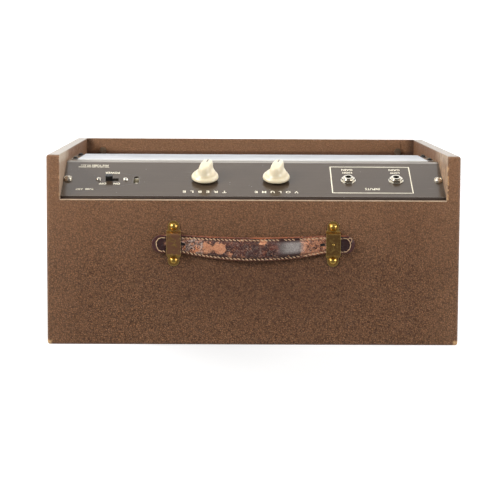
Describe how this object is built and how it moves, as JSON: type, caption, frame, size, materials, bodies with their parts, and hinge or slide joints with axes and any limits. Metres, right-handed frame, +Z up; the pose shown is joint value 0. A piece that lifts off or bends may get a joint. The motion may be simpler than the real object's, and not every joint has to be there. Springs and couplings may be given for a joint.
{
  "type": "tube amplifier",
  "caption": "Combo tube amplifier: vinyl covered open back cabinet with loudspeaker, leather handle and a sloped rear control panel with knobs, switch and input jacks.",
  "frame": {"origin": "centre of the footprint on the floor, under the feet", "axes": "+Z up, the grille faces -Y, the open back and the control panel face +Y, +X is to the right seen from the front"},
  "size_m": [0.432, 0.2, 0.384],
  "materials": {
    "plywood": "raw birch plywood, slightly aged",
    "vinyl": "brown pebble grain vinyl covering, satin",
    "cloth": "woven grille cloth",
    "piping": "woven cord",
    "rubber_black": "black rubber",
    "zinc": "zinc plated",
    "strap": "worn oxblood leather, stitched",
    "brass": "aged brass",
    "panel_paint": "grey-brown enamel with cream printing",
    "nickel": "old nickel plate",
    "aluminium": "bright aluminium sheet",
    "black_steel": "blackened steel",
    "ivory": "cream moulded plastic",
    "shaft_metal": "turned aluminium",
    "black_plastic": "black moulding",
    "lamp_glass": "small lamp bulb",
    "core_steel": "laminated core, varnished",
    "winding": "paper wrapped winding",
    "phenolic": "brown phenolic",
    "tube_glass": "clear tube glass",
    "tube_metal": "carbonised plate",
    "board": "fibre board",
    "components": "moulded components",
    "magnet": "plated steel pot",
    "cone_paper": "pressed paper",
    "cone_edge": "treated cloth",
    "spider_cloth": "corrugated treated cloth",
    "copper": "copper winding on a paper former",
    "wire_red": "insulated wire",
    "cord": "brown rubber mains cord"
  },
  "bodies": {
    "cabinet": {"cabinet_top": "plywood", "cabinet_bottom": "plywood", "cabinet_side_left": "plywood", "cabinet_side_right": "plywood", "vinyl_covering": "vinyl", "speaker_baffle": "plywood", "cabinet_cleats": "plywood", "grille_cloth": "cloth", "grille_piping": "piping", "rubber_feet": "rubber_black", "foot_bolts": "zinc", "handle_loop_left": "brass", "handle_loop_right": "brass", "handle_screws": "brass", "control_panel": "panel_paint", "panel_screws": "nickel", "cup_washers": "nickel", "chassis_pan": "aluminium", "back_plate": "aluminium", "back_plate_screws": "black_steel", "volume_pot": "zinc", "tone_pot": "zinc", "pot_nuts": "nickel", "input_jack_inner": "nickel", "input_jack_outer": "nickel", "jack_nuts": "nickel", "jack_washers": "nickel", "power_switch": "zinc", "switch_screws": "nickel", "pilot_lamp": "lamp_glass", "lamp_holder": "zinc", "mains_transformer_core": "core_steel", "mains_transformer_cover": "black_steel", "output_transformer_core": "core_steel", "output_transformer_coil": "winding", "filter_capacitor": "aluminium", "tube_sockets": "phenolic", "octal_tube_bases": "phenolic", "power_tube_glass": "tube_glass", "rectifier_glass": "tube_glass", "preamp_tube_glass": "tube_glass", "tube_plates": "tube_metal", "component_board": "board", "board_components": "components", "speaker_frame": "black_steel", "speaker_magnet": "magnet", "speaker_surround": "cone_edge", "speaker_spider": "spider_cloth", "speaker_screws": "zinc", "speaker_wires": "wire_red", "power_cord": "cord"},
    "handle": {"leather_handle": "strap"},
    "volume": {"volume_knob": "ivory", "volume_shaft": "shaft_metal"},
    "tone": {"tone_knob": "ivory", "tone_shaft": "shaft_metal"},
    "power_slider": {"switch_slider": "black_plastic"},
    "cone": {"speaker_cone": "cone_paper", "speaker_dust_cap": "cone_paper", "voice_coil": "copper"}
  },
  "joints": [
    {"name": "volume_turn", "type": "hinge", "parent": "cabinet", "child": "volume", "pos_m": [0.0244, 0.07098, 0.33374], "axis": [0, -0.9219, -0.3875], "range_deg": [0, 300]},
    {"name": "tone_turn", "type": "hinge", "parent": "cabinet", "child": "tone", "pos_m": [-0.0513, 0.07098, 0.33374], "axis": [0, -0.9219, -0.3875], "range_deg": [0, 300]},
    {"name": "power_slide", "type": "slide", "parent": "cabinet", "child": "power_slider", "axis": [1, 0, 0], "range_m": [0, 0.006]},
    {"name": "handle_lift", "type": "slide", "parent": "cabinet", "child": "handle", "axis": [0, 0, 1], "range_m": [0, 0.0045]},
    {"name": "cone_travel", "type": "slide", "parent": "cabinet", "child": "cone", "axis": [0, 1, 0], "range_m": [-0.002, 0.002], "stiffness_N_per_m": 2500, "deforming": ["speaker_surround", "speaker_spider"]}
  ]
}
